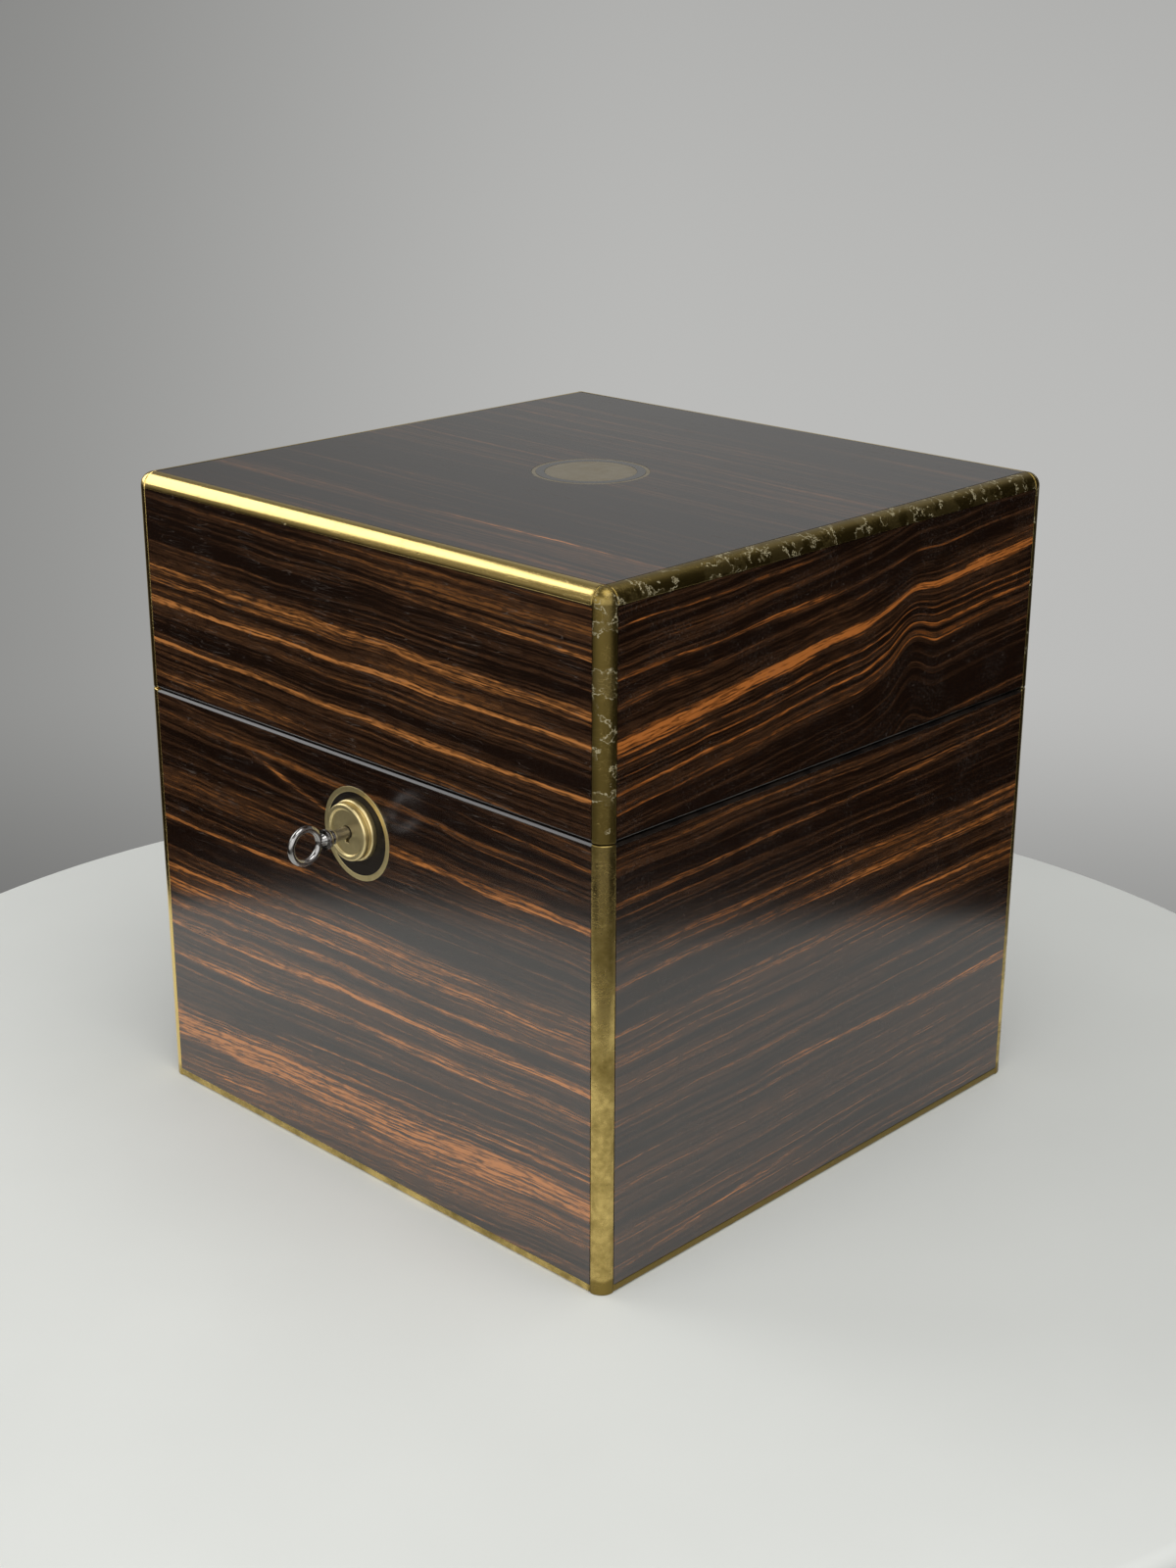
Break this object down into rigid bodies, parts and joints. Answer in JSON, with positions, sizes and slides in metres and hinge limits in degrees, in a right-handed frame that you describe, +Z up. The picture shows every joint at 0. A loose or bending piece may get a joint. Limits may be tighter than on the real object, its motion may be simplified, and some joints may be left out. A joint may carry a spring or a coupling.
{
  "type": "decanter box",
  "caption": "Square veneered box with brass-bound edges, a hinged lid, a front lock with its key, and stoppered glass decanters standing in cells inside.",
  "frame": {"origin": "middle of the box's underside, on the surface it stands on", "axes": "+Z up, -Y out of the front face with the lock, +X to the right seen from the front"},
  "size_m": [0.224, 0.255, 0.23],
  "materials": {
    "striped_veneer": "dark striped veneer, French polished",
    "carcass_wood": "plain mahogany, oiled",
    "partition_wood": "thin mahogany boards, waxed",
    "ebonised_wood": "ebonised, polished",
    "edge_brass": "rubbed brass with worn lacquer",
    "plate_brass": "polished brass, fine scratches",
    "lock_brass": "turned and polished brass",
    "plug_brass": "turned brass",
    "hinge_brass": "cast brass, filed",
    "velvet": "crimson velvet on card",
    "decanter_glass": "clear cut glass",
    "screw_steel": "blued steel screws",
    "key_steel": "polished steel, worn bright",
    "lock_steel": "dull filed steel"
  },
  "bodies": {
    "case": {"base_back_board": "carcass_wood", "base_back_veneer": "striped_veneer", "base_bottom_board": "carcass_wood", "base_corner_strips": "edge_brass", "base_floor_lining": "velvet", "base_front_board": "carcass_wood", "base_front_veneer": "striped_veneer", "base_left_board": "carcass_wood", "base_left_veneer": "striped_veneer", "base_right_board": "carcass_wood", "base_right_veneer": "striped_veneer", "base_rim_facings": "ebonised_wood", "base_wall_linings": "velvet", "bottom_edge_strips": "edge_brass", "decanter_back_left": "decanter_glass", "decanter_back_right": "decanter_glass", "decanter_front_left": "decanter_glass", "decanter_front_right": "decanter_glass", "hinge_base_leaves": "hinge_brass", "hinge_base_screws": "screw_steel", "hinge_pins": "lock_steel", "lock_boss": "lock_brass", "lock_cap": "lock_steel", "lock_case": "lock_steel", "lock_ground": "ebonised_wood", "lock_ring": "lock_brass", "lock_screws": "screw_steel", "lock_selvedge": "lock_brass", "partition_cross": "partition_wood", "partition_long": "partition_wood", "stopper_back_left": "decanter_glass", "stopper_back_right": "decanter_glass", "stopper_front_left": "decanter_glass", "stopper_front_right": "decanter_glass"},
    "lid": {"hinge_lid_leaves": "hinge_brass", "hinge_lid_screws": "screw_steel", "lid_back_board": "carcass_wood", "lid_back_veneer": "striped_veneer", "lid_ceiling_lining": "velvet", "lid_corner_strips": "edge_brass", "lid_front_board": "carcass_wood", "lid_front_veneer": "striped_veneer", "lid_left_board": "carcass_wood", "lid_left_veneer": "striped_veneer", "lid_right_board": "carcass_wood", "lid_right_veneer": "striped_veneer", "lid_rim_facings": "ebonised_wood", "lid_top_board": "carcass_wood", "lid_top_strips": "edge_brass", "lid_top_veneer": "striped_veneer", "lid_wall_linings": "velvet", "link_plate": "lock_brass", "link_plate_screws": "screw_steel", "plate_ground": "ebonised_wood", "plate_ring": "plate_brass", "top_plate": "plate_brass"},
    "plug": {"lock_plug": "plug_brass"},
    "bolt": {"lock_bolt": "lock_steel"},
    "key": {"key": "key_steel"}
  },
  "joints": [
    {"name": "lid_hinge", "type": "hinge", "parent": "case", "child": "lid", "pos_m": [0, 0.11315, 0.1526], "axis": [-1, 0, 0], "range_deg": [0, 95]},
    {"name": "key_turn", "type": "hinge", "parent": "case", "child": "plug", "pos_m": [0, -0.11, 0.1283], "axis": [0, 1, 0], "range_deg": [0, 90]},
    {"name": "bolt_slide", "type": "slide", "parent": "case", "child": "bolt", "axis": [1, 0, 0], "range_m": [0, 0.00636]},
    {"name": "key_withdraw", "type": "slide", "parent": "plug", "child": "key", "axis": [0, -1, 0], "range_m": [0, 0.04]}
  ],
  "couplings": [
    {"joint": "key_turn", "follows": "bolt_slide", "rad_per_m": 246.82}
  ]
}
